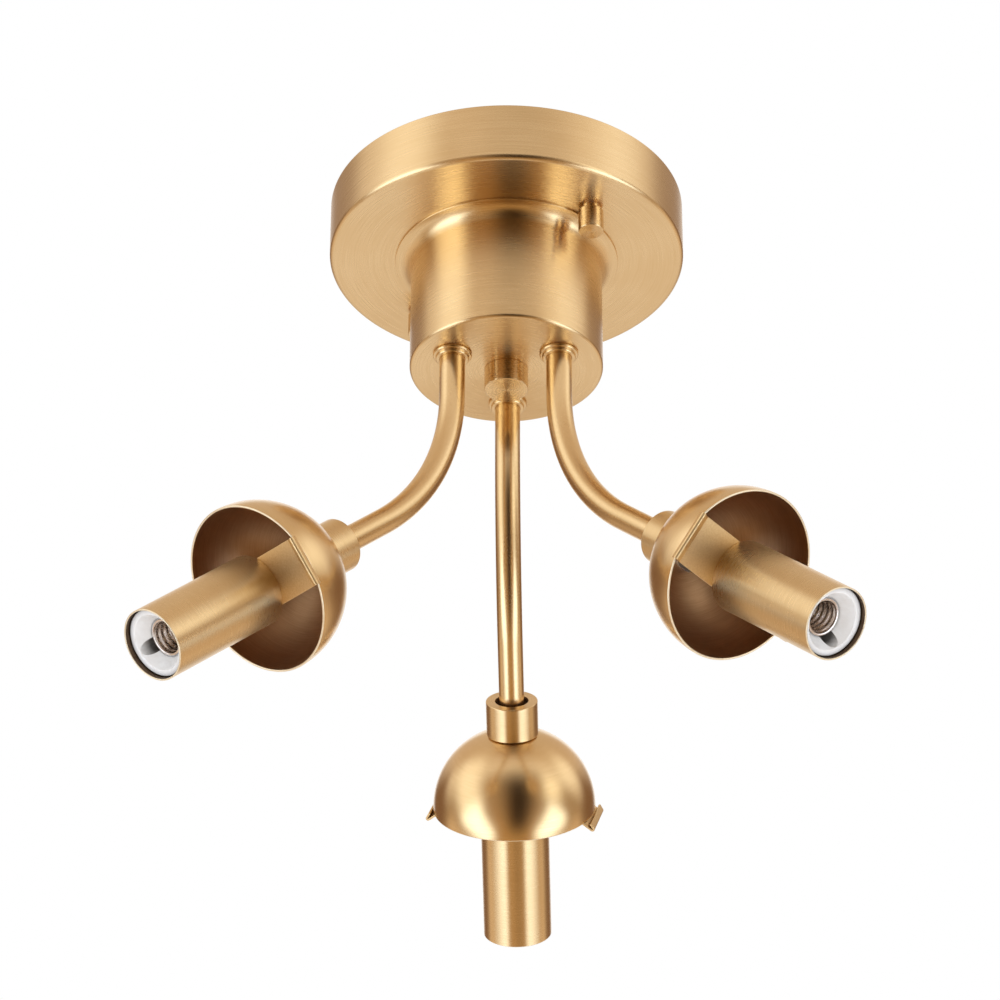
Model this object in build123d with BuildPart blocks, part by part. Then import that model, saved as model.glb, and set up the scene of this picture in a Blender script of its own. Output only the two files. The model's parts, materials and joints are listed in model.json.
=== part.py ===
from build123d import *
import os
from math import asin, cos, degrees, radians, sin, sqrt

os.makedirs("parts", exist_ok=True)

# Semi flush ceiling light with three lampholders on bent arms.
# Millimetres, +Z up. The origin is the middle of the ceiling bar's upper face, where it
# meets the ceiling. The rear arm points along +Y.

# Fits
thread_gap = 0.06  # radial, between a thread and its tapped hole
hole_gap = 0.25  # radial, round a screw or tube in a plain hole
sleeve_gap = 0.08  # radial, between a sleeve and the lampholder it slides on

# Ceiling bar and stud bar
bar_thickness = 1.6
bar_width = 16.0
ceiling_bar_length = 114.0
slot_spacing = 79.4  # slot middles, reaches screws 60 to 98 mm apart
slot_width = 4.8
slot_length = 24.0
stud_bar_end = 8.8  # beyond each stud
stud_bar_angle = -45.5  # degrees from +X
rivet_radius = 3.0
rivet_sink = 0.9  # depth and widening of the flush upper end
rivet_head_radius = 5.5
rivet_head_height = 1.2
earth_screw_place = 20.0  # from the middle, along the ceiling bar
earth_screw_radius = 1.9
earth_head_flats = 8.0
earth_head_height = 2.6
earth_slot_width = 1.2

# Canopy studs and cap nuts
stud_line_offset = -1.3  # both studs, across the stud bar
stud_radius = 2.1
stud_reach = 33.0  # below the ceiling
stud_head_radius = 3.5
stud_head_height = 1.5
stud_nut_flats = 8.7
stud_nut_height = 3.2
cap_nut_radius = 4.9
cap_nut_gap = 0.3  # between a cap nut and the housing's flange
cap_nut_height = 9.6
cap_nut_roof = 1.8  # closed end of the threaded hole
cap_nut_chamfer = 0.4
cap_neck_radius = 3.5
cap_neck_height = 1.4

# Canopy
canopy_diameter = 140.0
canopy_height = 25.0
canopy_wall = 1.0
canopy_edge_radius = 2.0  # outside
wire_opening = 56.0

# Bridge and centre rod
bridge_end = 14.0  # on the canopy, beyond its opening
bridge_width = 16.0
bridge_thickness = 2.0
rod_radius = 3.0
rod_nut_flats = 10.0
rod_nut_height = 5.0
rod_stub = 2.0  # above the upper rod nut
rod_chamfer = 0.4

# Housing
housing_diameter = 75.4
housing_height = 51.1
housing_wall = 0.8
housing_edge_radius = 1.3  # outside
flare_radius = 5.5  # concave, outside
flange_lip = 0.8  # flat edge beyond the flare

# Finial
finial_radius = 8.55
finial_height = 9.2
finial_roof = 2.2  # closed end of the threaded hole
finial_chamfer = 0.5
rod_end_gap = 0.5  # between the rod's end and the closed end

# Arms
root_radius = 23.8  # arm roots from the centre
tube_diameter = 9.9
tube_bore = 8.0
arm_stub = 11.0  # threaded length above the housing's underside
arm_drop = 19.2  # straight length below it
bend_radius = 89.3
arm_run = 24.4  # straight length from the bend to the collar
arm_end_stub = 1.5  # beyond the dome nut
ring_radius = 7.5
ring_height = 1.4
ring_step_radius = 6.5
ring_step_height = 1.3
ring_round = 0.5
washer_radius = 8.5
washer_thickness = 0.8
arm_nut_flats = 14.0
arm_nut_height = 3.0

# Collar and dome; lamp heights run along the lamp's axis from the dome's rim
collar_diameter = 20.4
collar_length = 14.1
collar_bore = 13.1
collar_floor = 3.0
collar_chamfer = 0.35
dome_radius = 32.1
dome_wall = 0.8
dome_lip = 0.8  # straight length at the rim
dome_seat_radius = 7.95  # flat seat under the collar
dome_nut_height = 3.5

# Shade spring: a strap across the dome's mouth, folded back at both ends beyond the rim
spring_width = 19.0
spring_thickness = 0.8
spring_height = 0.6  # middle of the flat strap and of the tips, beyond the rim
knee_inset = 3.0  # end of the flat, inside the rim
fold_reach = 2.6  # corner of the fold, outside the rim
fold_depth = 4.7  # corner of the fold, beyond the rim
tip_reach = 0.3  # outside the rim
knee_bend = 1.2
fold_bend = 0.5

# Nipple, nuts and bracket that carry the lampholder
nipple_bore = 5.0
nipple_overlap = 12.0  # inside the arm
nipple_end = 6.5
nipple_nut_flats = 12.0
nipple_nut_height = 3.0
bracket_thickness = 0.8
bracket_width = 11.0
bracket_end = 31.0
bracket_bend = 1.4
holder_screw_radius = 1.2
holder_screw_height = 27.1
holder_screw_length = 4.5
holder_head_radius = 2.1
holder_head_height = 0.9

# Lampholder
sleeve_diameter = 27.0
sleeve_wall = 0.6
sleeve_length = 53.8
mouth_recess = 2.2  # holder's mouth inside the sleeve's end
mouth_ring = 2.3  # flat ring at the mouth
mouth_collar = 8.0  # full-diameter length at the mouth
mouth_round = 0.5
holder_radius = 11.3
holder_flats = 20.4  # across the flats under the bracket's legs
holder_length = 28.5
holder_floor = 6.0
holder_round = 1.0
dish_depth = 5.5
dish_radius = 7.3  # bottom of the dish
slot_across = 5.4
slot_reach = 10.3
slot_depth = 9.0
wire_hole_radius = 1.2
wire_hole_place = 3.9
shell_bore = 12.0
shell_wall = 0.5
shell_lip = 0.45
shell_foot_radius = 4.7
contact_width = 3.6
contact_thickness = 0.5
contact_half_length = 4.2
contact_rise = 1.8
contact_bend = 0.6
well_radius = 5.5  # under the screw shell, round the contact
well_depth = 2.0

# The arms' roots, in degrees from +X, and how each arm and lamp is set: swing turns the arm
# in its seat, droop is the lamp axis below level, spring_angle and holder_angle are clock
# angles about that axis
arms = {
    "rear": {
        "root": 90.0, "swing": -0.6, "droop": 38.4, "spring_angle": 10.8, "holder_angle": 75.0,
    },
    "left": {
        "root": 210.0, "swing": 5.3, "droop": 41.3, "spring_angle": -5.7, "holder_angle": 181.0,
    },
    "right": {
        "root": 330.0, "swing": -10.2, "droop": 40.6, "spring_angle": -4.5, "holder_angle": -38.0,
    },
}

# Heights and radii that follow from the sizes above
canopy_face = -canopy_height
bridge_under = canopy_face + canopy_wall
bridge_top = bridge_under + bridge_thickness
housing_under = canopy_face - housing_height
housing_floor = housing_under + housing_wall
washer_top = housing_floor + washer_thickness
flange_radius = housing_diameter / 2 + flare_radius + flange_lip
finial_depth = finial_height - finial_roof
stud_spacing = 2 * (flange_radius + cap_nut_gap + cap_nut_radius)
stud_places = [(side * stud_spacing / 2, stud_line_offset) for side in (1, -1)]
tube_radius = tube_diameter / 2
dome_seat_depth = dome_lip + sqrt(dome_radius**2 - dome_seat_radius**2)
dome_nut_seat = dome_wall - dome_seat_depth
arm_end = dome_nut_seat + dome_nut_height + arm_end_stub
rim_run = arm_run + collar_length + dome_seat_depth
nipple_radius = tube_bore / 2 - thread_gap
strap_inner = spring_height - spring_thickness / 2
strap_outer = spring_height + spring_thickness / 2
bracket_inner = strap_outer + bracket_thickness
leg_middle = holder_flats / 2 + bracket_thickness / 2
leg_outer = holder_flats / 2 + bracket_thickness
sleeve_radius = sleeve_diameter / 2
mouth_height = strap_outer + sleeve_length - mouth_recess
mouth_radius = sleeve_radius - sleeve_wall - sleeve_gap
dish_bottom = mouth_height - dish_depth
holder_end = mouth_height - holder_length
well_bottom = holder_end + holder_floor
well_top = well_bottom + well_depth
shell_radius = shell_bore / 2 + shell_wall


def clocked(frame, angle):
    """The frame turned about its own Z axis."""
    return Plane(frame.location * Rotation(0, 0, angle))


def arm_plane(arm):
    """Upright plane of an arm: origin at its root under the housing, X outward, Y up."""
    root = radians(arm["root"])
    heading = radians(arm["root"] + arm["swing"])
    return Plane(
        origin=(root_radius * cos(root), root_radius * sin(root), housing_under),
        x_dir=(cos(heading), sin(heading), 0),
        z_dir=(sin(heading), -cos(heading), 0),
    )


def lamp_frame(arm):
    """Plane at the middle of the dome's rim: Z out of its mouth, X along the shade spring."""
    plane = arm_plane(arm)
    droop = radians(arm["droop"])
    rim_out = bend_radius * (1 - sin(droop)) + rim_run * cos(droop)
    rim_down = arm_drop + bend_radius * cos(droop) + rim_run * sin(droop)
    rim = Plane(
        origin=plane.from_local_coords((rim_out, -rim_down, 0)),
        x_dir=-plane.z_dir,
        z_dir=plane.x_dir * cos(droop) - plane.y_dir * sin(droop),
    )
    return clocked(rim, arm["spring_angle"])


def section_of(frame):
    """Plane through the frame's Z axis: sketch X is the radius, sketch Y the height."""
    return Plane(origin=frame.origin, x_dir=frame.x_dir, z_dir=-frame.y_dir)


def save(piece, name):
    """Label a piece and write its file."""
    piece.part.label = name
    export_step(piece.part, f"parts/{name}.step")


def save_group(pieces, name):
    """Label identical pieces as one group and write its file."""
    with BuildPart() as group:
        for piece in pieces:
            add(piece.part)
    save(group, name)


def turned(frame, outline):
    """Piece turned about the frame's Z axis from (radius, height) points."""
    with BuildPart() as piece:
        with BuildSketch(section_of(frame)):
            with BuildLine():
                Polyline(*outline, close=True)
            make_face()
        revolve(axis=Axis(frame.origin, frame.z_dir))
    return piece


def hex_nut(plane, flats, height, bore_radius):
    """Chamfered hexagon nut standing on the plane."""
    with BuildPart() as nut:
        with BuildSketch(plane):
            Circle(flats * 0.57)
        extrude(amount=height)
        chamfer(nut.edges().filter_by(GeomType.CIRCLE), flats * 0.05)
        with BuildSketch(plane):
            RegularPolygon(flats / 2, 6, major_radius=False)
            Circle(bore_radius, mode=Mode.SUBTRACT)
        extrude(amount=height, mode=Mode.INTERSECT)
    return nut


def bent_strip(frame, points, bends, thickness, width):
    """Sheet strip bent along (radius, height) points, centred on the frame's XZ section."""
    with BuildPart() as strip:
        with BuildSketch(section_of(frame)):
            with BuildLine():
                FilletPolyline(*points, radius=bends)
            trace(line_width=thickness)
        extrude(amount=width / 2, both=True)
    return strip


# Ceiling bar: slotted for the outlet box screws, tapped for the earth screw
with BuildPart() as ceiling_bar:
    with BuildSketch(Plane.XY.offset(-bar_thickness)):
        SlotOverall(ceiling_bar_length, bar_width)
        with Locations((-slot_spacing / 2, 0), (slot_spacing / 2, 0)):
            SlotOverall(slot_length, slot_width, mode=Mode.SUBTRACT)
        with Locations((earth_screw_place, 0)):
            Circle(earth_screw_radius + thread_gap, mode=Mode.SUBTRACT)
    extrude(amount=bar_thickness)
    CounterSinkHole(rivet_radius, rivet_radius + rivet_sink, counter_sink_angle=90)
save(ceiling_bar, "ceiling_bar")

# Stud bar: swivels under the ceiling bar, tapped for the canopy studs
stud_plane = clocked(Plane.XY, stud_bar_angle)
with BuildPart() as stud_bar:
    with BuildSketch(stud_plane.offset(-2 * bar_thickness)):
        SlotOverall(stud_spacing + 2 * stud_bar_end, bar_width)
        with Locations(*stud_places):
            Circle(stud_radius + thread_gap, mode=Mode.SUBTRACT)
        Circle(rivet_radius, mode=Mode.SUBTRACT)
    extrude(amount=bar_thickness)
save(stud_bar, "stud_bar")

rivet_under = -2 * bar_thickness
bar_rivet = turned(Plane.XY, [
    (0, 0),
    (rivet_radius + rivet_sink, 0),
    (rivet_radius, -rivet_sink),
    (rivet_radius, rivet_under),
    (rivet_head_radius, rivet_under),
    (rivet_head_radius, rivet_under - rivet_head_height / 2),
    (rivet_head_radius - rivet_head_height, rivet_under - rivet_head_height),
    (0, rivet_under - rivet_head_height),
])
save(bar_rivet, "bar_rivet")

with BuildPart() as earth_screw:
    with BuildSketch(Plane((earth_screw_place, 0, -bar_thickness))):
        Circle(earth_screw_radius)
    extrude(amount=bar_thickness)
    with BuildSketch(Plane((earth_screw_place, 0, -bar_thickness))):
        RegularPolygon(earth_head_flats / 2, 6, major_radius=False)
    extrude(amount=-earth_head_height)
    with BuildSketch(Plane((earth_screw_place, 0, -bar_thickness - earth_head_height))):
        Rectangle(2 * earth_head_flats, earth_slot_width)
    extrude(amount=earth_head_height / 2, mode=Mode.SUBTRACT)
save(earth_screw, "earth_screw")

# Studs that carry the canopy, locked under the stud bar
with BuildPart() as studs:
    with BuildSketch(stud_plane.offset(-bar_thickness)):
        with Locations(*stud_places):
            Circle(stud_radius)
    extrude(amount=bar_thickness - stud_reach)
    with BuildSketch(stud_plane.offset(-bar_thickness)):
        with Locations(*stud_places):
            Circle(stud_head_radius)
    extrude(amount=stud_head_height)
save(studs, "canopy_studs")

stud_axes = [Plane(origin=stud_plane.from_local_coords((x, y, 0))) for x, y in stud_places]
save_group([
    hex_nut(axis.offset(rivet_under - stud_nut_height), stud_nut_flats, stud_nut_height,
            stud_radius + thread_gap)
    for axis in stud_axes
], "stud_nuts")

cap_nut_under = canopy_face - cap_neck_height - cap_nut_height
for name, axis in zip(("front", "rear"), stud_axes):
    cap_nut = turned(axis, [
        (stud_radius + thread_gap, canopy_face),
        (cap_neck_radius, canopy_face),
        (cap_neck_radius, canopy_face - cap_neck_height),
        (cap_nut_radius - cap_nut_chamfer, canopy_face - cap_neck_height),
        (cap_nut_radius, canopy_face - cap_neck_height - cap_nut_chamfer),
        (cap_nut_radius, cap_nut_under + cap_nut_chamfer),
        (cap_nut_radius - cap_nut_chamfer, cap_nut_under),
        (0, cap_nut_under),
        (0, cap_nut_under + cap_nut_roof),
        (stud_radius + thread_gap, cap_nut_under + cap_nut_roof),
    ])
    save(cap_nut, f"{name}_cap_nut")

# Canopy: drawn pan, open at the ceiling
with BuildPart() as canopy:
    with BuildSketch(Plane.XY.offset(canopy_face)):
        Circle(canopy_diameter / 2)
    extrude(amount=canopy_height)
    fillet(canopy.edges().group_by(Axis.Z)[0], canopy_edge_radius)
    offset(amount=-canopy_wall, openings=canopy.faces().sort_by(Axis.Z)[-1])
    with BuildSketch(stud_plane.offset(canopy_face)):
        Circle(wire_opening / 2)
        with Locations(*stud_places):
            Circle(stud_radius + hole_gap)
    extrude(amount=canopy_wall, mode=Mode.SUBTRACT)
save(canopy, "canopy")

# Bridge across the canopy's opening, with the centre rod that hangs the housing
with BuildPart() as bridge:
    with BuildSketch(clocked(stud_plane.offset(bridge_under), 90)):
        SlotOverall(wire_opening + 2 * bridge_end, bridge_width)
        Circle(rod_radius + thread_gap, mode=Mode.SUBTRACT)
    extrude(amount=bridge_thickness)
save(bridge, "bridge")

rod_top = bridge_top + rod_nut_height + rod_stub
rod_end = housing_under - finial_depth + rod_end_gap
with BuildPart() as centre_rod:
    with BuildSketch(Plane.XY.offset(rod_end)):
        Circle(rod_radius)
    extrude(amount=rod_top - rod_end)
    chamfer(centre_rod.edges().filter_by(GeomType.CIRCLE), rod_chamfer)
save(centre_rod, "centre_rod")

save_group([
    hex_nut(Plane.XY.offset(height), rod_nut_flats, rod_nut_height, rod_radius + thread_gap)
    for height in (bridge_top, bridge_under - rod_nut_height)
], "rod_nuts")

# Housing: cup with a flared foot and a thin flange under the canopy
with BuildPart() as housing:
    with BuildSketch(Plane.XZ):
        with BuildLine():
            FilletPolyline(
                (flange_radius, canopy_face - housing_wall / 2),
                (housing_diameter / 2 - housing_wall / 2, canopy_face - housing_wall / 2),
                (housing_diameter / 2 - housing_wall / 2, housing_floor - housing_wall / 2),
                (0, housing_floor - housing_wall / 2),
                radius=[flare_radius + housing_wall / 2, housing_edge_radius - housing_wall / 2],
            )
        trace(line_width=housing_wall)
    revolve(axis=Axis.Z)
    with BuildSketch(Plane.XY.offset(housing_under)):
        Circle(rod_radius + hole_gap)
        with PolarLocations(root_radius, len(arms), arms["rear"]["root"]):
            Circle(tube_radius + hole_gap)
    extrude(amount=housing_wall, mode=Mode.SUBTRACT)
save(housing, "housing")

finial_under = housing_under - finial_height
finial = turned(Plane.XY, [
    (rod_radius + thread_gap, housing_under),
    (finial_radius - finial_chamfer, housing_under),
    (finial_radius, housing_under - finial_chamfer),
    (finial_radius, finial_under + finial_chamfer),
    (finial_radius - finial_chamfer, finial_under),
    (0, finial_under),
    (0, finial_under + finial_roof),
    (rod_radius + thread_gap, finial_under + finial_roof),
])
save(finial, "finial")

# Washers and lock nuts that clamp the arms above the housing's floor
root_axes = [
    Plane(origin=(arm_plane(arm).origin.X, arm_plane(arm).origin.Y, 0)) for arm in arms.values()
]
save_group([
    turned(axis, [
        (tube_radius + hole_gap, housing_floor),
        (washer_radius, housing_floor),
        (washer_radius, washer_top),
        (tube_radius + hole_gap, washer_top),
    ])
    for axis in root_axes
], "arm_washers")
save_group([
    hex_nut(axis.offset(washer_top), arm_nut_flats, arm_nut_height, tube_radius + thread_gap)
    for axis in root_axes
], "arm_nuts")

dome_nuts = []
spring_nuts = []
bracket_nuts = []
holder_screws = []

for side, setting in arms.items():
    upright = arm_plane(setting)
    lamp = lamp_frame(setting)
    lamp_axis = Axis(lamp.origin, lamp.z_dir)
    seat = clocked(lamp, setting["holder_angle"])

    # Arm: one tube, upright at the root, bent, then straight through collar and dome
    with BuildPart() as arm:
        with BuildLine(upright):
            drop = Line((0, arm_stub), (0, -arm_drop))
            bend = JernArc(drop @ 1, drop % 1, bend_radius, 90 - setting["droop"])
            PolarLine(bend @ 1, rim_run + arm_end, direction=bend % 1)
        with BuildSketch(Plane(origin=drop @ 0, z_dir=drop % 0)):
            Circle(tube_radius)
            Circle(tube_bore / 2, mode=Mode.SUBTRACT)
        sweep()
    save(arm, f"{side}_arm")

    # Turned ring under the housing: a wide band and a narrower one, edges rounded
    root = Plane(origin=upright.origin)
    with BuildPart() as root_ring:
        with BuildSketch(root):
            Circle(ring_radius)
        extrude(amount=-ring_height)
        fillet(root_ring.edges().filter_by(GeomType.CIRCLE), ring_round)
        with BuildSketch(root.offset(-ring_height)):
            Circle(ring_step_radius)
        extrude(amount=-ring_step_height)
        fillet(root_ring.edges().group_by(Axis.Z)[0], ring_round)
        with BuildSketch(root):
            Circle(tube_radius)
        extrude(amount=-ring_height - ring_step_height, mode=Mode.SUBTRACT)
    save(root_ring, f"{side}_root_ring")

    # Collar, open towards the arm
    collar_top = -dome_seat_depth - collar_length
    collar = turned(lamp, [
        (tube_radius + thread_gap, -dome_seat_depth),
        (collar_diameter / 2 - collar_chamfer, -dome_seat_depth),
        (collar_diameter / 2, -dome_seat_depth - collar_chamfer),
        (collar_diameter / 2, collar_top + collar_chamfer),
        (collar_diameter / 2 - collar_chamfer, collar_top),
        (collar_bore / 2, collar_top),
        (collar_bore / 2, -dome_seat_depth - collar_floor),
        (tube_radius + thread_gap, -dome_seat_depth - collar_floor),
    ])
    save(collar, f"{side}_collar")

    # Dome: spun hemisphere with a short straight lip and a flat seat for the collar
    seat_angle = 90 - degrees(asin(dome_seat_radius / dome_radius))
    with BuildPart() as dome:
        with BuildSketch(section_of(lamp)):
            with BuildLine():
                lip = Line((dome_radius, 0), (dome_radius, -dome_lip))
                bowl = CenterArc((0, -dome_lip), dome_radius, 0, -seat_angle)
                Polyline(bowl @ 1, (0, -dome_seat_depth), (0, 0), lip @ 0)
            make_face()
        revolve(axis=lamp_axis)
        offset(amount=-dome_wall, openings=dome.faces().sort_by_distance(lamp.origin)[0])
        with BuildSketch(lamp.offset(-dome_seat_depth)):
            Circle(tube_radius + hole_gap)
        extrude(amount=dome_wall, mode=Mode.SUBTRACT)
    save(dome, f"{side}_dome")

    dome_nuts.append(hex_nut(lamp.offset(dome_nut_seat), arm_nut_flats, dome_nut_height,
                             tube_radius + thread_gap))

    # Shade spring: flat across the mouth, out over the rim, folded back to the rim
    catch = [
        (dome_radius - knee_inset, spring_height),
        (dome_radius + fold_reach, fold_depth),
        (dome_radius + tip_reach, spring_height),
    ]
    far_catch = [(-x, y) for x, y in reversed(catch)]
    strap = bent_strip(lamp, far_catch + catch, [fold_bend, knee_bend, knee_bend, fold_bend],
                       spring_thickness, spring_width)
    with BuildPart() as spring:
        add(strap.part)
        with BuildSketch(lamp):
            Circle(nipple_radius + hole_gap)
        extrude(amount=strap_outer, mode=Mode.SUBTRACT)
    save(spring, f"{side}_shade_spring")

    # Nipple from inside the arm to the lampholder's bracket, and its nuts
    nipple_start = arm_end - nipple_overlap
    nipple = turned(lamp, [
        (nipple_bore / 2, nipple_start),
        (nipple_radius, nipple_start),
        (nipple_radius, nipple_end),
        (nipple_bore / 2, nipple_end),
    ])
    save(nipple, f"{side}_nipple")
    spring_nuts.append(hex_nut(lamp.offset(strap_inner - nipple_nut_height), nipple_nut_flats,
                               nipple_nut_height, nipple_radius + thread_gap))
    bracket_nuts.append(hex_nut(lamp.offset(bracket_inner), nipple_nut_flats,
                                nipple_nut_height, nipple_radius + thread_gap))

    # Bracket: U strip whose legs carry the lampholder by two screws
    leg = [(leg_middle, strap_outer + bracket_thickness / 2), (leg_middle, bracket_end)]
    far_leg = [(-x, y) for x, y in reversed(leg)]
    channel = bent_strip(seat, far_leg + leg, bracket_bend, bracket_thickness, bracket_width)
    screw_seats = [
        Plane(
            origin=seat.from_local_coords((way * leg_outer, 0, holder_screw_height)),
            x_dir=seat.z_dir,
            z_dir=seat.x_dir * way,
        )
        for way in (1, -1)
    ]
    with BuildPart() as bracket:
        add(channel.part)
        with BuildSketch(seat.offset(strap_outer)):
            Circle(nipple_radius + hole_gap)
        extrude(amount=bracket_thickness, mode=Mode.SUBTRACT)
        with BuildSketch(*screw_seats):
            Circle(holder_screw_radius + hole_gap)
        extrude(amount=-bracket_thickness, mode=Mode.SUBTRACT)
    save(bracket, f"{side}_bracket")
    for screw_seat in screw_seats:
        holder_screws.append(turned(screw_seat, [
            (0, -holder_screw_length),
            (holder_screw_radius, -holder_screw_length),
            (holder_screw_radius, 0),
            (holder_head_radius, 0),
            (holder_head_radius, holder_head_height),
            (0, holder_head_height),
        ]))

    # Lampholder: mouth ring, dish and well turned in one, then flats, slot and holes
    with BuildPart() as holder:
        with BuildSketch(section_of(seat)):
            with BuildLine():
                FilletPolyline(
                    (0, holder_end),
                    (holder_radius, holder_end),
                    (holder_radius, mouth_height - mouth_collar - mouth_radius + holder_radius),
                    (mouth_radius, mouth_height - mouth_collar),
                    (mouth_radius, mouth_height),
                    (mouth_radius - mouth_ring, mouth_height),
                    (dish_radius, dish_bottom),
                    (shell_radius + thread_gap, dish_bottom),
                    (shell_radius + thread_gap, well_top),
                    (well_radius, well_top),
                    (well_radius, well_bottom),
                    (0, well_bottom),
                    radius=[0, holder_round, 0, 0, mouth_round, mouth_round, 0, 0, 0, 0, 0, 0],
                    close=True,
                )
            make_face()
        revolve(axis=lamp_axis)
        with BuildSketch(seat.offset(holder_end)):
            with Locations((-holder_radius, 0), (holder_radius, 0)):
                Rectangle(2 * holder_radius - holder_flats, 2 * holder_radius)
        extrude(amount=bracket_end + hole_gap - holder_end, mode=Mode.SUBTRACT)
        with BuildSketch(*screw_seats):
            Circle(holder_screw_radius + thread_gap)
        extrude(amount=-holder_screw_length - hole_gap, mode=Mode.SUBTRACT)
        with BuildSketch(seat.offset(holder_end)):
            with Locations((0, -wire_hole_place), (0, wire_hole_place)):
                Circle(wire_hole_radius)
        extrude(amount=holder_floor, mode=Mode.SUBTRACT)
        with BuildSketch(seat.offset(mouth_height)):
            with Locations((slot_reach / 2, 0)):
                SlotOverall(slot_reach, slot_across)
        extrude(amount=-slot_depth, mode=Mode.SUBTRACT)
    save(holder, f"{side}_lampholder")

    # Screw shell with a rolled lip and an inward foot, and the contact under it
    shell = turned(lamp, [
        (shell_foot_radius, well_top),
        (shell_radius, well_top),
        (shell_radius, dish_bottom),
        (shell_radius + shell_lip, dish_bottom),
        (shell_radius + shell_lip, dish_bottom + shell_lip),
        (shell_bore / 2, dish_bottom + shell_lip),
        (shell_bore / 2, well_top + shell_wall),
        (shell_foot_radius, well_top + shell_wall),
    ])
    save(shell, f"{side}_screw_shell")
    contact_height = well_bottom + contact_thickness / 2
    contact = bent_strip(
        seat,
        [
            (-contact_half_length, contact_height),
            (contact_half_length, contact_height),
            (0, contact_height + contact_rise),
            (-contact_width / 2, contact_height + contact_rise - contact_thickness),
        ],
        contact_bend,
        contact_thickness,
        contact_width,
    )
    save(contact, f"{side}_contact")

    # Sleeve: plain tube, slides along the lamp's axis
    sleeve = turned(lamp, [
        (sleeve_radius - sleeve_wall, strap_outer),
        (sleeve_radius, strap_outer),
        (sleeve_radius, strap_outer + sleeve_length),
        (sleeve_radius - sleeve_wall, strap_outer + sleeve_length),
    ])
    save(sleeve, f"{side}_sleeve")

save_group(dome_nuts, "dome_nuts")
save_group(spring_nuts, "spring_nuts")
save_group(bracket_nuts, "bracket_nuts")
save_group(holder_screws, "holder_screws")
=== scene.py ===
import json
import math

import bmesh
import bpy
from mathutils import Matrix, Vector


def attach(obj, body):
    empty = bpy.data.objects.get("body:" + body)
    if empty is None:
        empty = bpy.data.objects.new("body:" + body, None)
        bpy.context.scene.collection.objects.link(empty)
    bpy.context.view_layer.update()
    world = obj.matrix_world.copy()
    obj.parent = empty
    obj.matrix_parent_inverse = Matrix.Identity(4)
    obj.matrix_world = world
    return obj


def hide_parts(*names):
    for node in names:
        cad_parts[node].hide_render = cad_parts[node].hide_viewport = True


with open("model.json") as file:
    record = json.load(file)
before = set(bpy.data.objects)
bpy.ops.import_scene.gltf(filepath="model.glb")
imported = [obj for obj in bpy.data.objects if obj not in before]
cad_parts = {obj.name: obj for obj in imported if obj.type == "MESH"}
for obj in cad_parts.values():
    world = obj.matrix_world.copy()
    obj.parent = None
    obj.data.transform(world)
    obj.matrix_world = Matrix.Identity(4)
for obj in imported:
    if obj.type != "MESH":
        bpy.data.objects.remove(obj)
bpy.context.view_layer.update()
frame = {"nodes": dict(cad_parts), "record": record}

mm = 0.001
scene = bpy.context.scene


# Frames of the fixture and the three lamps, all lengths in mm

fixtureFrame = Matrix.Identity(4)

# drop is the straight length below the housing, run the one from the bend to the dome's rim, and the tube
# stops short of that rim by end
armShape = {"under": -76.1, "rootRadius": 23.8, "stub": 11.0, "stubStep": 4.0, "drop": 19.2, "bend": 89.3,
            "bendSteps": 48, "run": 70.4, "runSteps": 4, "end": 26.1, "outer": 4.95, "inner": 4.0,
            "segments": 48}

# in degrees: root is the azimuth of the arm's root, swing its turn away from straight outward, droop the
# lamp's slope below level, springAngle the spring's turn about the lamp's axis
arms = {
    "rear": {"root": 90.0, "swing": -0.6, "droop": 38.4, "springAngle": 10.8},
    "left": {"root": 210.0, "swing": 5.3, "droop": 41.3, "springAngle": -5.7},
    "right": {"root": 330.0, "swing": -10.2, "droop": 40.6, "springAngle": -4.5},
}


def framed(origin, xAxis, zAxis):
    yAxis = zAxis.cross(xAxis)
    matrix = Matrix((xAxis, yAxis, zAxis)).transposed().to_4x4()
    matrix.translation = origin
    return matrix


def armFrame(arm, a):
    # origin at the arm's root, X outward, Y up
    root = math.radians(arm["root"])
    heading = math.radians(arm["root"] + arm["swing"])
    origin = Vector((a["rootRadius"] * math.cos(root), a["rootRadius"] * math.sin(root), a["under"])) * mm
    return framed(origin, Vector((math.cos(heading), math.sin(heading), 0)),
                  Vector((math.sin(heading), -math.cos(heading), 0)))


def lampFrame(arm, a):
    # origin at the middle of the dome's rim, Z out of its mouth, X along the shade spring
    upright = armFrame(arm, a)
    droop = math.radians(arm["droop"])
    out = a["bend"] * (1 - math.sin(droop)) + a["run"] * math.cos(droop)
    down = a["drop"] + a["bend"] * math.cos(droop) + a["run"] * math.sin(droop)
    outward = upright.col[0].to_3d()
    upward = upright.col[1].to_3d()
    along = outward * math.cos(droop) - upward * math.sin(droop)
    rim = framed(upright @ Vector((out * mm, -down * mm, 0)), -upright.col[2].to_3d(), along)
    return rim @ Matrix.Rotation(math.radians(arm["springAngle"]), 4, "Z")


lampFrames = {side: lampFrame(arm, armShape) for side, arm in arms.items()}
print("frames of the lamps set")


# Meshes

meshValues = {"sharpAngle": 32, "normalWeight": 60}


def circle(segments):
    return [2 * math.pi * k / segments for k in range(segments)]


def direction(points, i):
    return (points[min(i + 1, len(points) - 1)] - points[max(i - 1, 0)]).normalized()


def rounded(points, radii, steps=5):
    # closed outline with its corners rounded
    out = []
    count = len(points)
    for i, (p, r) in enumerate(zip(points, radii)):
        p = Vector(p)
        if r <= 0:
            out.append(p)
            continue
        a = (Vector(points[i - 1]) - p).normalized()
        b = (Vector(points[(i + 1) % count]) - p).normalized()
        half = a.angle(b) / 2
        middle = p + (a + b).normalized() * r / math.sin(half)
        start = p + a * r / math.tan(half) - middle
        stop = p + b * r / math.tan(half) - middle
        turn = start.angle_signed(stop)
        for k in range(steps + 1):
            out.append(middle + Matrix.Rotation(-turn * k / steps, 2) @ start)
    return out


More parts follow.
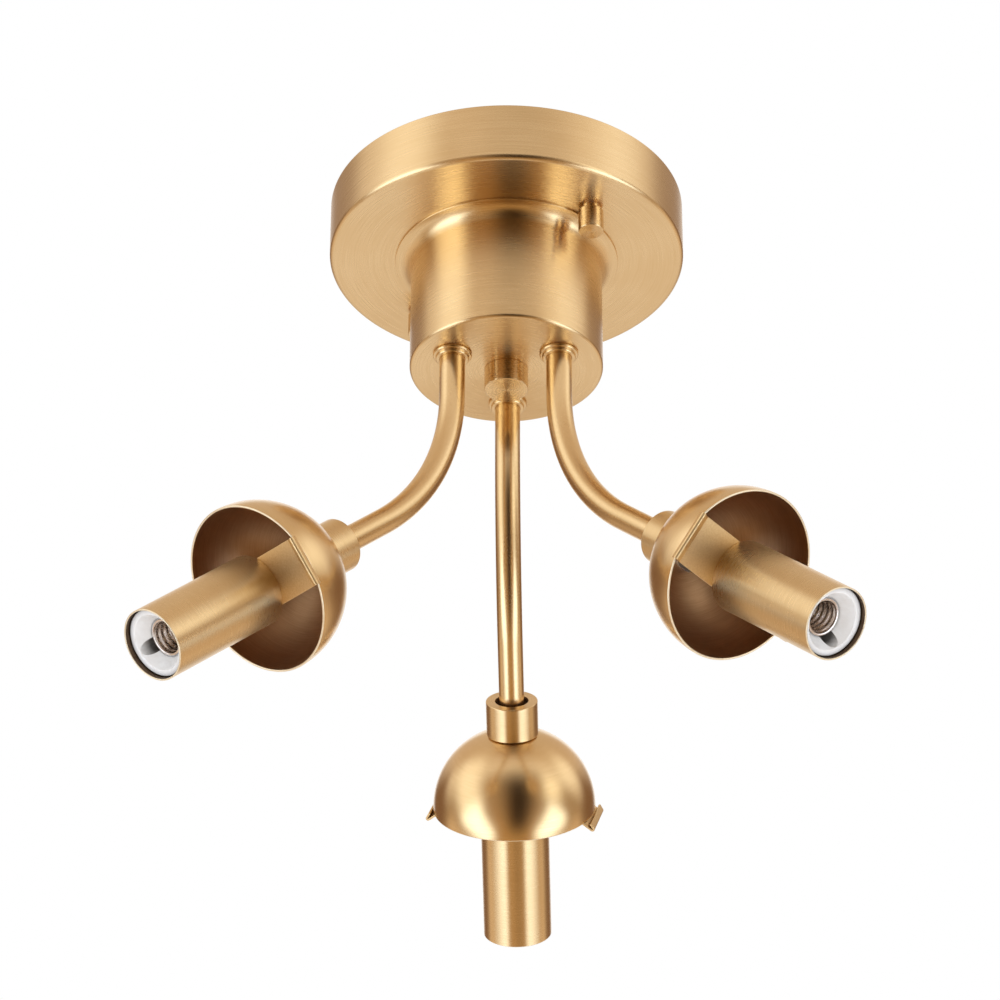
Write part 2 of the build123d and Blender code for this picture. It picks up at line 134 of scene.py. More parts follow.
def finishMesh(name, bm, body, node, mats):
    bmesh.ops.recalc_face_normals(bm, faces=bm.faces)
    mesh = bpy.data.meshes.new(name)
    bm.to_mesh(mesh)
    bm.free()
    for polygon in mesh.polygons:
        polygon.use_smooth = True
    mesh.set_sharp_from_angle(angle=math.radians(meshValues["sharpAngle"]))
    for mat in mats:
        mesh.materials.append(mat)
    obj = bpy.data.objects.new(name, mesh)
    scene.collection.objects.link(obj)
    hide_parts(node)
    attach(obj, body)
    return obj


def weightNormals(obj):
    mod = obj.modifiers.new("normals", "WEIGHTED_NORMAL")
    mod.keep_sharp = True
    mod.weight = meshValues["normalWeight"]


def skin(bm, rings, closed, indexOf=None):
    # faces between neighbouring rings of points, a ring of one point being a pole
    pairs = list(zip(rings, rings[1:] + rings[:1])) if closed else list(zip(rings, rings[1:]))
    for i, (first, second) in enumerate(pairs):
        count = max(len(first), len(second))
        if count == 1:
            continue
        for k in range(count):
            n = (k + 1) % count
            corners = [first[k % len(first)], first[n % len(first)]]
            corners += [second[n % len(second)], second[k % len(second)]]
            face = bm.faces.new(list(dict.fromkeys(corners)))
            if indexOf is not None:
                face.material_index = indexOf(i)


def lathe(name, matrix, outline, radii, body, node, mats, segments=128, steps=5, inner=None, edge=None):
    # closed outline of (radius, height) turned about the frame's Z axis; mats for outside, inside and edges,
    # where callers give a painted shade copy of the brass for insides and a painted highlight brass for edges
    points = rounded(outline, radii, steps)
    bm = bmesh.new()
    rings = []
    for p in points:
        angles = circle(segments if p.x > 1e-6 else 1)
        spots = [Vector((p.x * math.cos(a), p.x * math.sin(a), p.y)) * mm for a in angles]
        rings.append([bm.verts.new(matrix @ spot) for spot in spots])

    def indexOf(i):
        a, b = points[i], points[(i + 1) % len(points)]
        if edge is not None and edge(a, b):
            return 2
        return 1 if inner is not None and inner(a, b) else 0

    skin(bm, rings, True, indexOf)
    weightNormals(finishMesh(name, bm, body, node, mats))


# Materials

def addNode(tree, kind, inputs=None, **settings):
    node = tree.nodes.new(kind)
    for key, value in settings.items():
        setattr(node, key, value)
    setSockets(tree, node, inputs or {})
    return node


def setSockets(tree, node, values):
    for key, value in values.items():
        if isinstance(value, bpy.types.NodeSocket):
            tree.links.new(value, node.inputs[key])
        else:
            node.inputs[key].default_value = value


def calc(tree, operation, a, b=0.0, c=0.0):
    return addNode(tree, "ShaderNodeMath", {0: a, 1: b, 2: c}, operation=operation).outputs[0]


def calcVector(tree, operation, a, b=(0, 0, 0)):
    node = addNode(tree, "ShaderNodeVectorMath", {0: a, 1: b}, operation=operation)
    return node.outputs["Value" if operation in ("DOT_PRODUCT", "LENGTH") else "Vector"]


def scaled(tree, vector, factor):
    node = addNode(tree, "ShaderNodeVectorMath", {0: vector, "Scale": factor}, operation="SCALE")
    return node.outputs["Vector"]


def spread(tree, value, low, high, toLow=0.0, toHigh=1.0, kind="LINEAR"):
    inputs = {0: value, 1: low, 2: high, 3: toLow, 4: toHigh}
    return addNode(tree, "ShaderNodeMapRange", inputs, interpolation_type=kind).outputs[0]


def mixed(tree, factor, a, b):
    return addNode(tree, "ShaderNodeMix", {0: factor, 6: a, 7: b}, data_type="RGBA").outputs[2]


def noise(tree, vector, scale, detail=3.0, roughness=0.55):
    inputs = {"Vector": vector, "Scale": scale, "Detail": detail, "Roughness": roughness}
    return addNode(tree, "ShaderNodeTexNoise", inputs).outputs["Fac"]


def average(tree, a, b, share):
    return calc(tree, "ADD", calc(tree, "MULTIPLY", a, share), calc(tree, "MULTIPLY", b, 1 - share))


def emptyTree(owner):
    owner.use_nodes = True
    owner.node_tree.nodes.clear()
    return owner.node_tree


def relief(tree, height, strength, depth):
    inputs = {"Strength": strength, "Distance": depth, "Height": height}
    return addNode(tree, "ShaderNodeBump", inputs).outputs[0]


def newMaterial(name):
    mat = bpy.data.materials.new(name)
    tree = emptyTree(mat)
    shader = addNode(tree, "ShaderNodeBsdfPrincipled")
    addNode(tree, "ShaderNodeOutputMaterial", {0: shader.outputs[0]})
    return mat, tree, shader


def seenByCamera(tree, seen, other):
    # one shader for camera rays and another one for all the rest
    isCamera = addNode(tree, "ShaderNodeLightPath").outputs["Is Camera Ray"]
    inputs = {0: isCamera, 1: other.outputs[0], 2: seen.outputs[0]}
    return addNode(tree, "ShaderNodeMixShader", inputs).outputs[0]


# grain is the number of grooves in a metre along the axis and faceGrain its share across a flat face; a
# brushTurn of a quarter stretches the gloss across the grooves
brassLook = {
    "gold": (0.80, 0.60, 0.34, 1), "deep": (0.73, 0.525, 0.27, 1), "rough": 0.28, "roughVary": 0.05,
    "brush": 0.88, "brushTurn": 0.25, "grain": 3000.0, "faceGrain": 0.8, "plainGrain": 1500.0, "drift": 2.6,
    "bump": 0.02, "bumpDepth": 0.0004, "cloud": 30.0, "grainShare": 0.6, "colourFrom": 0.35, "colourTo": 0.65,
    "roughFrom": 0.3, "roughTo": 0.7,
}
domeLook = {"rough": 0.245, "brush": 0.5}
armLook = {"rough": 0.26}
springLook = {"gold": (0.88, 0.68, 0.38, 1), "rough": 0.43}
# painted highlight: a paler brass on the rims of the domes and sleeves, standing in for the highlights the
# rims catch
edgeHighlightLook = {"gold": (0.95, 0.86, 0.66, 1), "deep": (0.9, 0.78, 0.56, 1), "rough": 0.4}
# painted shade: near-black brass for the sleeves' inner walls round the lampholders, standing in for the
# shade in the tubes
tubeShadeLook = {"gold": (0.17, 0.11, 0.07, 1), "deep": (0.11, 0.07, 0.043, 1)}
# painted shade: a darker, warmer copy of the brass for the insides of canopy, housing, finial, collars and
# domes, standing in for the shade in them
shadedInsideLook = brassLook | {
    "gold": (0.62, 0.40, 0.23, 1), "deep": (0.47, 0.28, 0.145, 1), "rough": 0.42, "roughVary": 0.10,
    "brush": 0.2, "grain": 3600.0, "drift": 2.0, "bump": 0.03, "cloud": 45.0,
}


def brassSurface(tree, shader, look, place, grainPlace, scale, extra):
    grain = noise(tree, grainPlace, scale, detail=4.0, roughness=0.65)
    cloud = noise(tree, place, look["cloud"])
    tone = average(tree, grain, cloud, look["grainShare"])
    colour = spread(tree, tone, look["colourFrom"], look["colourTo"])
    half = look["roughVary"] / 2
    rough = spread(tree, tone, look["roughFrom"], look["roughTo"], look["rough"] - half, look["rough"] + half)
    setSockets(tree, shader, {
        "Base Color": mixed(tree, colour, look["gold"], look["deep"]),
        "Metallic": 1.0, "Roughness": rough,
        "Normal": relief(tree, grain, look["bump"], look["bumpDepth"]),
    } | extra)


def turnedBrass(name, matrix, look):
    # brushed round the frame's Z axis
    mat, tree, shader = newMaterial(name)
    axis = matrix.col[2].to_3d()
    place = addNode(tree, "ShaderNodeTexCoord").outputs["Object"]
    line = addNode(tree, "ShaderNodeCombineXYZ", {0: axis.x, 1: axis.y, 2: axis.z}).outputs[0]
    offset = calcVector(tree, "SUBTRACT", place, tuple(matrix.translation))
    height = calcVector(tree, "DOT_PRODUCT", offset, line)
    outward = calcVector(tree, "SUBTRACT", offset, scaled(tree, line, height))
    radius = calcVector(tree, "LENGTH", outward)
    away = calcVector(tree, "NORMALIZE", outward)
    around = calcVector(tree, "CROSS_PRODUCT", line, away)
    around = addNode(tree, "ShaderNodeVectorTransform", {0: around}, vector_type="VECTOR",
                     convert_from="OBJECT", convert_to="WORLD").outputs[0]
    across = calc(tree, "MULTIPLY_ADD", radius, look["faceGrain"], height)
    across = calc(tree, "MULTIPLY", across, look["grain"])
    grainPlace = calcVector(tree, "ADD", scaled(tree, away, look["drift"]), scaled(tree, line, across))
    brassSurface(tree, shader, look, place, grainPlace, 1.0, {
        "Anisotropic": look["brush"], "Anisotropic Rotation": look["brushTurn"], "Tangent": around,
    })
    return mat


def plainBrass(name, look):
    mat, tree, shader = newMaterial(name)
    place = addNode(tree, "ShaderNodeTexCoord").outputs["Object"]
    brassSurface(tree, shader, look, place, place, look["plainGrain"], {})
    return mat


steelLook = {"light": (0.62, 0.62, 0.60, 1), "dark": (0.44, 0.44, 0.42, 1), "rough": 0.34, "metallic": 1.0,
             "smoother": 0.05, "rougher": 0.08, "speck": 900.0, "cloud": 160.0, "cloudShare": 0.7,
             "toneFrom": 0.3, "toneTo": 0.7, "bump": 0.06, "bumpDepth": 0.0002}
nickelLook = {"light": (0.86, 0.79, 0.73, 1), "dark": (0.70, 0.62, 0.56, 1), "rough": 0.2}
greenLook = {"light": (0.10, 0.36, 0.15, 1), "dark": (0.05, 0.22, 0.09, 1), "rough": 0.38, "metallic": 0.6}


def platedSteel(name, look):
    mat, tree, shader = newMaterial(name)
    place = addNode(tree, "ShaderNodeTexCoord").outputs["Object"]
    speck = addNode(tree, "ShaderNodeTexVoronoi", {"Vector": place, "Scale": look["speck"]})
    cloud = noise(tree, place, look["cloud"], detail=4.0, roughness=0.6)
    tone = average(tree, cloud, speck.outputs["Distance"], look["cloudShare"])
    colour = spread(tree, tone, look["toneFrom"], look["toneTo"])
    low, high = look["rough"] - look["smoother"], look["rough"] + look["rougher"]
    setSockets(tree, shader, {
        "Base Color": mixed(tree, colour, look["light"], look["dark"]),
        "Metallic": look["metallic"],
        "Roughness": spread(tree, tone, look["toneFrom"], look["toneTo"], low, high),
        "Normal": relief(tree, tone, look["bump"], look["bumpDepth"]),
    })
    return mat


# hollow is the painted shade colour deep in the slot and the well, reach the distance at which a wall still
# darkens a place with that painted shade
whiteLook = {"light": (0.88, 0.91, 0.93, 1), "shade": (0.82, 0.84, 0.85, 1), "paintedShadeColour": (0.10, 0.09, 0.08, 1),
             "rough": 0.36, "smoother": 0.05, "rougher": 0.07, "cloud": 120.0, "fine": 2200.0, "bump": 0.04,
             "bumpDepth": 0.0002, "reach": 0.009, "closed": 0.3, "open": 0.8, "paintedShadeShare": 0.95,
             "colourFrom": 0.35, "colourTo": 0.65, "roughFrom": 0.3, "roughTo": 0.7}


def mouldedWhite(name, look):
    mat, tree, shader = newMaterial(name)
    place = addNode(tree, "ShaderNodeTexCoord").outputs["Object"]
    cloud = noise(tree, place, look["cloud"], detail=4.0, roughness=0.6)
    fine = noise(tree, place, look["fine"], detail=2.0, roughness=0.5)
    # painted shade: the white goes dark where walls are close by, in the slot and the well
    around = addNode(tree, "ShaderNodeAmbientOcclusion", {"Distance": look["reach"]}, samples=16)
    paintedShadeMask = spread(tree, around.outputs["AO"], look["closed"], look["open"], look["paintedShadeShare"], 0.0)
    colour = spread(tree, cloud, look["colourFrom"], look["colourTo"])
    base = mixed(tree, colour, look["light"], look["shade"])
    low, high = look["rough"] - look["smoother"], look["rough"] + look["rougher"]
    setSockets(tree, shader, {
        "Base Color": mixed(tree, paintedShadeMask, base, look["paintedShadeColour"]),
        "Roughness": spread(tree, cloud, look["roughFrom"], look["roughTo"], low, high),
        "Normal": relief(tree, fine, look["bump"], look["bumpDepth"]),
    })
    return mat


fixtureBrass = turnedBrass("fixtureBrass", fixtureFrame, brassLook)
# the insides take the painted shade copy of the brass
fixtureShadedInside = turnedBrass("fixtureShadedInside", fixtureFrame, shadedInsideLook)
armBrass = plainBrass("armBrass", brassLook | armLook)
springBrass = plainBrass("springBrass", brassLook | springLook)
edgeHighlightBrass = plainBrass("edgeHighlightBrass", brassLook | edgeHighlightLook)
zincSteel = platedSteel("zincSteel", steelLook)
nickelShell = platedSteel("nickelShell", steelLook | nickelLook)
greenScrew = platedSteel("greenScrew", steelLook | greenLook)
holderWhite = mouldedWhite("holderWhite", whiteLook)
print("materials made")


# Canopy, housing, finial and cap nuts

# margin, here and below, tells a wall's inside from its outside when the materials are set
canopyShape = {"radius": 70.0, "height": 25.0, "wall": 1.0, "edge": 2.0, "opening": 28.0, "lip": 0.3,
               "margin": 0.5}


def makeCanopy(c):
    inside = c["radius"] - c["wall"]
    low = -c["height"]
    outline = [(c["radius"], 0), (c["radius"], low), (c["opening"], low), (c["opening"], low + c["wall"]),
               (inside, low + c["wall"]), (inside, 0)]
    radii = [c["lip"], c["edge"], 0, 0, c["edge"] - c["wall"], c["lip"]]

    def isInside(a, b):
        return max(a.x, b.x) < c["radius"] - c["margin"] and min(a.y, b.y) > low + c["margin"]

    lathe("canopyPan", fixtureFrame, outline, radii, "fixture", "canopy", [fixtureBrass, fixtureShadedInside],
          segments=256, steps=8, inner=isInside)


housingShape = {"radius": 37.7, "under": -76.1, "top": -25.0, "wall": 0.8, "flange": 44.0, "flare": 5.5,
                "edge": 1.3, "hole": 3.25, "lip": 0.2, "margin": 0.3}


def makeHousing(h):
    outer = h["radius"]
    inner = h["radius"] - h["wall"]
    flange = h["top"] - h["wall"]
    floor = h["under"] + h["wall"]
    outline = [(h["flange"], h["top"]), (h["flange"], flange), (outer, flange), (outer, h["under"]),
               (h["hole"], h["under"]), (h["hole"], floor), (inner, floor), (inner, h["top"])]
    radii = [h["lip"], h["lip"], h["flare"], h["edge"], 0, 0, h["edge"] - h["wall"], h["flare"] + h["wall"]]

    def isInside(a, b):
        return max(a.x, b.x) < outer - h["margin"] and min(a.y, b.y) > h["under"] + h["margin"]

    lathe("housingCup", fixtureFrame, outline, radii, "fixture", "housing", [fixtureBrass, fixtureShadedInside],
          segments=256, steps=12, inner=isInside)


finialShape = {"radius": 8.55, "top": -76.1, "height": 9.2, "chamfer": 0.55, "edge": 0.3, "bore": 3.06,
               "depth": 7.0, "margin": 0.1}


def makeFinial(f):
    low = f["top"] - f["height"]
    roof = f["top"] - f["depth"]
    outline = [(f["bore"], f["top"]), (f["radius"], f["top"]), (f["radius"], low), (0, low), (0, roof),
               (f["bore"], roof)]
    lathe("finialKnob", fixtureFrame, outline, [0, f["edge"], f["chamfer"], 0, 0, 0], "finial_body", "finial",
          [fixtureBrass, fixtureShadedInside], segments=96,
          inner=lambda a, b: max(a.x, b.x) < f["bore"] + f["margin"])


capNutShape = {"radius": 4.9, "top": -25.0, "height": 9.6, "chamfer": 0.45, "neck": 3.5, "neckHeight": 1.4,
               "bore": 2.16, "roof": 1.8, "barAngle": -45.5, "along": 49.2, "aside": -1.3}


def makeCapNut(side, way, c):
    place = Matrix.Rotation(math.radians(c["barAngle"]), 4, "Z") @ Vector((way * c["along"], c["aside"], 0))
    matrix = Matrix.Translation(place * mm)
    neckLow = c["top"] - c["neckHeight"]
    low = neckLow - c["height"]
    outline = [(c["bore"], c["top"]), (c["neck"], c["top"]), (c["neck"], neckLow), (c["radius"], neckLow),
               (c["radius"], low), (0, low), (0, low + c["roof"]), (c["bore"], low + c["roof"])]
    radii = [0, 0, 0, c["chamfer"], c["chamfer"], 0, 0, 0]
    lathe(f"{side}CapNut", matrix, outline, radii, f"{side}_nut", f"{side}_cap_nut",
          [turnedBrass(f"{side}NutBrass", matrix, brassLook)], segments=64)


makeCanopy(canopyShape)
makeHousing(housingShape)
makeFinial(finialShape)
makeCapNut("front", 1, capNutShape)
makeCapNut("rear", -1, capNutShape)
print("canopy, housing, finial and cap nuts made")


# Arms and root rings

ringShape = {"radius": 7.5, "height": 1.4, "step": 6.5, "stepHeight": 1.3, "round": 0.6, "corner": 0.1,
             "bore": 4.95, "boreEdge": 0.2}


def armPath(arm, a):
    droop = math.radians(arm["droop"])
    flat = [(0, a["stub"]), (0, a["stub"] - a["stubStep"]), (0, 0), (0, -a["drop"] / 2)]
    for k in range(a["bendSteps"] + 1):
        t = (math.pi / 2 - droop) * k / a["bendSteps"]
        flat.append((a["bend"] * (1 - math.cos(t)), -a["drop"] - a["bend"] * math.sin(t)))
    endX, endY = flat[-1]
    length = a["run"] - a["end"]
    for k in range(1, a["runSteps"] + 1):
        part = length * k / a["runSteps"]
        flat.append((endX + part * math.cos(droop), endY - part * math.sin(droop)))
    upright = armFrame(arm, a)
    return [upright @ (Vector((x, y, 0)) * mm) for x, y in flat], upright.col[2].to_3d()


def makeArm(side, arm, a):
    points, across = armPath(arm, a)
    angles = circle(a["segments"])
    bm = bmesh.new()
    layers = {"outer": [], "inner": []}
    for i, p in enumerate(points):
        along = direction(points, i)
        other = along.cross(across)
        for layer, rings in layers.items():
            radius = a[layer] * mm
            sides = [across * math.cos(t) + other * math.sin(t) for t in angles]
            rings.append([bm.verts.new(p + way * radius) for way in sides])
    skin(bm, layers["outer"] + layers["inner"][::-1], True)
    finishMesh(f"{side}ArmTube", bm, "fixture", f"{side}_arm", [armBrass])


def makeRing(side, arm, r):
    matrix = Matrix.Translation(armFrame(arm, armShape).translation)
    low = -r["height"] - r["stepHeight"]
    outline = [(r["bore"], 0), (r["radius"], 0), (r["radius"], -r["height"]), (r["step"], -r["height"]),
               (r["step"], low), (r["bore"], low)]
    radii = [0, r["round"], r["round"], r["corner"], r["round"], r["boreEdge"]]
    lathe(f"{side}RootRing", matrix, outline, radii, "fixture", f"{side}_root_ring",
          [turnedBrass(f"{side}RingBrass", matrix, brassLook)], segments=96)


for side, arm in arms.items():
    makeArm(side, arm, armShape)
    makeRing(side, arm, ringShape)
print("arms and root rings made")


# Lamps

collarShape = {"radius": 10.2, "length": 14.1, "bore": 6.55, "floor": 3.0, "hole": 5.0, "chamfer": 0.4,
               "boreEdge": 0.25, "corner": 0.3, "seat": 31.9, "margin": 0.05}


def makeCollar(side, matrix, mats, c):
    low = -c["seat"]
    top = low - c["length"]
    outline = [(c["hole"], low), (c["radius"], low), (c["radius"], top), (c["bore"], top),
               (c["bore"], low - c["floor"]), (c["hole"], low - c["floor"])]
    radii = [0, c["chamfer"], c["chamfer"], c["boreEdge"], c["corner"], 0]
    lathe(f"{side}Collar", matrix, outline, radii, "fixture", f"{side}_collar", mats,
          inner=lambda a, b: max(a.x, b.x) < c["bore"] + c["margin"])


# lip is the straight length at the rim, below the half sphere
domeShape = {"radius": 32.1, "wall": 0.8, "lip": 0.8, "hole": 5.2, "rim": 0.36, "seat": 31.9, "steps": 40,
             "margin": 0.32, "rimMargin": 0.02}


def makeDome(side, matrix, mats, d):
    inside = d["radius"] - d["wall"]

    def profile(radius, seat):
        # from the rim to the hole
        top = math.asin((seat - d["lip"]) / radius)
        turns = [top * k / d["steps"] for k in range(d["steps"] + 1)]
        points = [(radius * math.cos(t), -d["lip"] - radius * math.sin(t)) for t in turns]
        return [(radius, 0.0)] + points + [(d["hole"], -seat)]

    def isInside(a, b):
        return max(math.hypot(p.x, p.y + d["lip"]) for p in (a, b)) < inside + d["margin"]

    outline = profile(d["radius"], d["seat"]) + profile(inside, d["seat"] - d["wall"])[::-1]
    radii = [d["rim"]] + [0] * (len(outline) - 2) + [d["rim"]]
    # the rim faces take the third material, a paler brass that is a painted highlight
    lathe(f"{side}Dome", matrix, outline, radii, "fixture", f"{side}_dome", mats, segments=192,
          inner=isInside, edge=lambda a, b: min(a.y, b.y) > -d["rim"] - d["rimMargin"])


sleeveShape = {"radius": 13.5, "wall": 0.6, "start": 1.0, "length": 53.8, "edge": 0.27, "margin": 0.1,
               "rimMargin": 0.02}


def makeSleeve(side, matrix, mats, s):
    stop = s["start"] + s["length"]
    inside = s["radius"] - s["wall"]
    outline = [(inside, s["start"]), (s["radius"], s["start"]), (s["radius"], stop), (inside, stop)]
    # the mouth's rim faces take the third material, a paler brass that is a painted highlight
    lathe(f"{side}SleeveTube", matrix, outline, [s["edge"]] * 4, f"{side}_sleeve_body", f"{side}_sleeve",
          mats, steps=3, inner=lambda a, b: max(a.x, b.x) < inside + s["margin"],
          edge=lambda a, b: min(a.y, b.y) > stop - s["edge"] - s["rimMargin"])


# catch is one end's middle line, from the knee over the fold to the tip
springShape = {"width": 19.0, "thickness": 0.8, "catch": [(29.1, 0.6), (34.7, 4.7), (32.4, 0.6)],
               "kneeBend": 1.2, "foldBend": 0.5, "edge": 0.12, "edgeAngle": 50}


def makeSpring(side, matrix, s):
    # one strip along its middle line, rounded at the knees and folds
    line = [(-x, y) for x, y in reversed(s["catch"])] + s["catch"]
    bends = [0, s["foldBend"], s["kneeBend"], s["kneeBend"], s["foldBend"], 0]
    run = rounded(line, bends, 6)
    bm = bmesh.new()
    rows = []
    for i, p in enumerate(run):
        along = direction(run, i)
        rise = Vector((-along.y, along.x)) * s["thickness"] / 2
        row = []
        for q, aside in ((p - rise, -0.5), (p - rise, 0.5), (p + rise, 0.5), (p + rise, -0.5)):
            row.append(bm.verts.new(matrix @ (Vector((q.x, aside * s["width"], q.y)) * mm)))
        rows.append(row)
    skin(bm, rows, False)
    bm.faces.new(rows[0])
    bm.faces.new(rows[-1])
    obj = finishMesh(f"{side}ShadeSpring", bm, "fixture", f"{side}_shade_spring", [springBrass])
    bevel = obj.modifiers.new("edges", "BEVEL")
    bevel.width = s["edge"] * mm
    bevel.segments = 2
    bevel.limit_method = "ANGLE"
    bevel.angle_limit = math.radians(s["edgeAngle"])
    weightNormals(obj)


# start is how far below the mouth the thread begins, fade the length over which it reaches its full depth
shellShape = {"outer": 6.45, "crest": 5.5, "root": 6.02, "foot": 4.7, "low": 32.1, "high": 47.1,
              "sheet": 0.45, "lip": 6.95, "pitch": 2.54, "start": 0.3, "fade": 1.2, "rows": 84,
              "segments": 80}


def makeShell(side, matrix, s):
    # rolled thread inside a plain outer wall, turned out in a lip at the mouth
    top = s["high"] + s["sheet"]
    floor = s["low"] + s["sheet"]
    edge = s["sheet"] / 2
    outside = [(s["foot"], floor), (s["foot"], s["low"]), (s["outer"], s["low"]), (s["outer"], s["high"])]
    lip = [(s["lip"] - 0.1, s["high"]), (s["lip"], s["high"] + edge), (s["lip"] - 0.12, top - 0.04),
           (s["root"] + 0.3, top), (s["root"] + 0.08, top - 0.08)]
    rows = [(radius, z, 0) for radius, z in outside + lip]
    start = top - s["start"]
    for k in range(s["rows"] + 1):
        z = start - (start - floor) * k / s["rows"]
        rows.append((s["root"], z, min(1.0, (start - z) / s["fade"])))
    bm = bmesh.new()
    rings = []
    for radius, z, depth in rows:
        ring = []
        for a in circle(s["segments"]):
            wave = 0.5 + 0.5 * math.cos(2 * math.pi * z / s["pitch"] - a)
            r = radius - (s["root"] - s["crest"]) * depth * wave
            ring.append(bm.verts.new(matrix @ (Vector((r * math.cos(a), r * math.sin(a), z)) * mm)))
        rings.append(ring)
    skin(bm, rings, True)
    finishMesh(f"{side}ThreadedShell", bm, "fixture", f"{side}_screw_shell", [nickelShell])


for side, matrix in lampFrames.items():
    lampBrass = turnedBrass(f"{side}LampBrass", matrix, brassLook)
    domeBrass = turnedBrass(f"{side}DomeBrass", matrix, brassLook | domeLook)
    # the collars' and domes' insides take the painted shade copy of the brass
    lampShadedInside = turnedBrass(f"{side}LampShadedInside", matrix, shadedInsideLook)
    # the sleeves' inner walls take the near-black painted shade brass
    tubeShadedInside = turnedBrass(f"{side}TubeShadedInside", matrix, shadedInsideLook | tubeShadeLook)
    makeCollar(side, matrix, [lampBrass, lampShadedInside], collarShape)
    makeDome(side, matrix, [domeBrass, lampShadedInside, edgeHighlightBrass], domeShape)
    makeSleeve(side, matrix, [lampBrass, tubeShadedInside, edgeHighlightBrass], sleeveShape)
    makeSpring(side, matrix, springShape)
    makeShell(side, matrix, shellShape)
print("collars, domes, sleeves, shade springs and screw shells made")


# Materials of the pieces that keep their CAD shape

nodeMaterials = {"steel": zincSteel, "holder": holderWhite, "shell": nickelShell, "contact": springBrass,
                 "green_steel": greenScrew, "brass": fixtureBrass}
slotOf = {item["node"]: item["material_slot"] for item in frame["record"]["subparts"]}
for name, obj in frame["nodes"].items():
    for material in obj.material_slots:
        material.material = nodeMaterials[slotOf[name]]
print("materials set on the CAD nodes")


# Camera

cameraShape = {"place": (0.030094, -1.310995, -0.941160), "turn": (121.57103, -0.12032, 1.34282),
               "lens": 145.117, "sensor": 36.0}


def makeCamera(c):
    data = bpy.data.cameras.new("camera")
    data.lens = c["lens"]
    data.sensor_width = c["sensor"]
    camera = bpy.data.objects.new("camera", data)
    camera.location = c["place"]
    camera.rotation_euler = [math.radians(a) for a in c["turn"]]
    scene.collection.objects.link(camera)
    scene.camera = camera


# Studio: the surroundings by elevation, and soft patches in them, all in degrees; azimuth counts from the
# viewer's side towards +X, wide and high are half a patch's size

studioLook = {
    "levels": [(-90, (0.62, 0.37, 0.145)), (-30, (0.46, 0.30, 0.17)), (5, (0.43, 0.31, 0.21)),
               (29, (1.05, 0.95, 0.87)), (50, (0.74, 0.58, 0.44)), (90, (0.74, 0.62, 0.52))],
    "patches": [
        {"azimuth": 180, "elevation": -46, "wide": 66, "high": 34, "soft": 16, "colour": (0.93, 0.84, 0.78)},
        {"azimuth": 124, "elevation": -13, "wide": 20, "high": 13, "soft": 10, "colour": (0.86, 0.66, 0.48)},
        {"azimuth": -124, "elevation": -13, "wide": 20, "high": 13, "soft": 10, "colour": (0.86, 0.66, 0.48)},
        {"azimuth": 134, "elevation": 20, "wide": 26, "high": 17, "soft": 10, "colour": (0.24, 0.13, 0.07)},
        {"azimuth": -134, "elevation": 20, "wide": 26, "high": 17, "soft": 10, "colour": (0.24, 0.13, 0.07)},
        {"azimuth": 180, "elevation": 30, "wide": 22, "high": 26, "soft": 8, "colour": (1.2, 1.22, 1.28)},
        {"azimuth": -66, "elevation": 12, "wide": 19, "high": 32, "soft": 12, "colour": (1.42, 1.38, 1.34)},
        {"azimuth": 82, "elevation": 33, "wide": 15, "high": 15, "soft": 12, "colour": (1.35, 1.3, 1.25)},
        {"azimuth": 54, "elevation": 6, "wide": 13, "high": 14, "soft": 11, "colour": (1.6, 1.55, 1.45)},
        {"azimuth": -71, "elevation": -37, "wide": 19, "high": 24, "soft": 8, "colour": (2.3, 2.6, 3.0)},
        {"azimuth": 73, "elevation": -37, "wide": 18, "high": 23, "soft": 8, "colour": (2.3, 2.6, 3.0)},
        {"azimuth": 9, "elevation": -24, "wide": 21, "high": 40, "soft": 17, "colour": (0.02, 0.009, 0.004)},
    ],
}


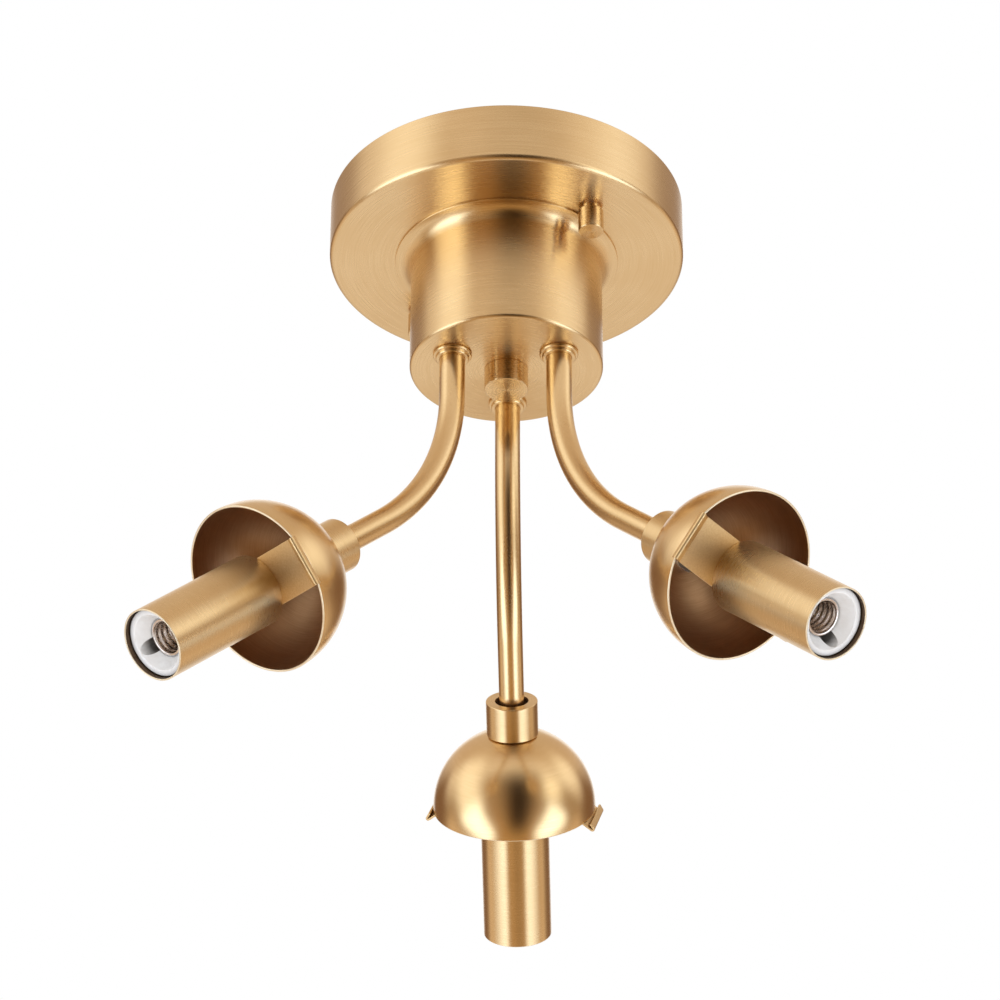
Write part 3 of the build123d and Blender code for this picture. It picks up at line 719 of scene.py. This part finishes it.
def makeWorld(look):
    world = bpy.data.worlds.new("studio")
    tree = emptyTree(world)
    way = calcVector(tree, "NORMALIZE", addNode(tree, "ShaderNodeTexCoord").outputs["Generated"])
    parts = addNode(tree, "ShaderNodeSeparateXYZ", {0: way}).outputs
    azimuth = calc(tree, "DEGREES", calc(tree, "ARCTAN2", parts[0], calc(tree, "MULTIPLY", parts[1], -1.0)))
    elevation = calc(tree, "DEGREES", calc(tree, "ARCSINE", parts[2]))
    colour = look["levels"][0][1] + (1,)
    for (low, _), (high, upper) in zip(look["levels"], look["levels"][1:]):
        colour = mixed(tree, spread(tree, elevation, low, high), colour, upper + (1,))
    for p in look["patches"]:
        turn = calc(tree, "WRAP", calc(tree, "SUBTRACT", azimuth, p["azimuth"]), 180, -180)
        turn = calc(tree, "ABSOLUTE", turn)
        lift = calc(tree, "ABSOLUTE", calc(tree, "SUBTRACT", elevation, p["elevation"]))
        inTurn = spread(tree, turn, p["wide"] - p["soft"], p["wide"] + p["soft"], 1.0, 0.0, "SMOOTHSTEP")
        inLift = spread(tree, lift, p["high"] - p["soft"], p["high"] + p["soft"], 1.0, 0.0, "SMOOTHSTEP")
        colour = mixed(tree, calc(tree, "MULTIPLY", inTurn, inLift), colour, p["colour"] + (1,))
    around = addNode(tree, "ShaderNodeBackground", {"Color": colour, "Strength": 1.0})
    white = addNode(tree, "ShaderNodeBackground", {"Color": (1, 1, 1, 1), "Strength": 1.0})
    addNode(tree, "ShaderNodeOutputWorld", {0: seenByCamera(tree, white, around)})
    scene.world = world


fillLook = {"from": (0.15, -0.75, -0.65), "strength": 1.4, "angle": 70, "colour": (0.97, 0.98, 1.0)}


def makeFill(look):
    # soft light from the viewer's side for the white lampholders, not mirrored by the brass
    data = bpy.data.lights.new("fill", "SUN")
    data.energy = look["strength"]
    data.angle = math.radians(look["angle"])
    data.color = look["colour"]
    lamp = bpy.data.objects.new("fill", data)
    lamp.rotation_euler = Vector(look["from"]).to_track_quat("Z", "Y").to_euler()
    lamp.visible_glossy = False
    scene.collection.objects.link(lamp)


# Floor: plain white, a room's height below and so outside the photograph; reflections pass through it

floorLook = {"height": -3.0, "half": 8.0, "colour": (1, 1, 1, 1)}


def makeFloor(look):
    half, height = look["half"], look["height"]
    corners = [(x * half, y * half, height) for x, y in ((-1, -1), (1, -1), (1, 1), (-1, 1))]
    mesh = bpy.data.meshes.new("floor")
    mesh.from_pydata(corners, [], [(0, 1, 2, 3)])
    mat = bpy.data.materials.new("floorWhite")
    tree = emptyTree(mat)
    pale = addNode(tree, "ShaderNodeEmission", {"Color": look["colour"], "Strength": 1.0})
    clear = addNode(tree, "ShaderNodeBsdfTransparent")
    addNode(tree, "ShaderNodeOutputMaterial", {0: seenByCamera(tree, pale, clear)})
    mesh.materials.append(mat)
    obj = bpy.data.objects.new("floor", mesh)
    scene.collection.objects.link(obj)


makeCamera(cameraShape)
makeWorld(studioLook)
makeFill(fillLook)
makeFloor(floorLook)
scene.view_settings.view_transform = "Standard"
print("camera, studio, fill light and floor made")
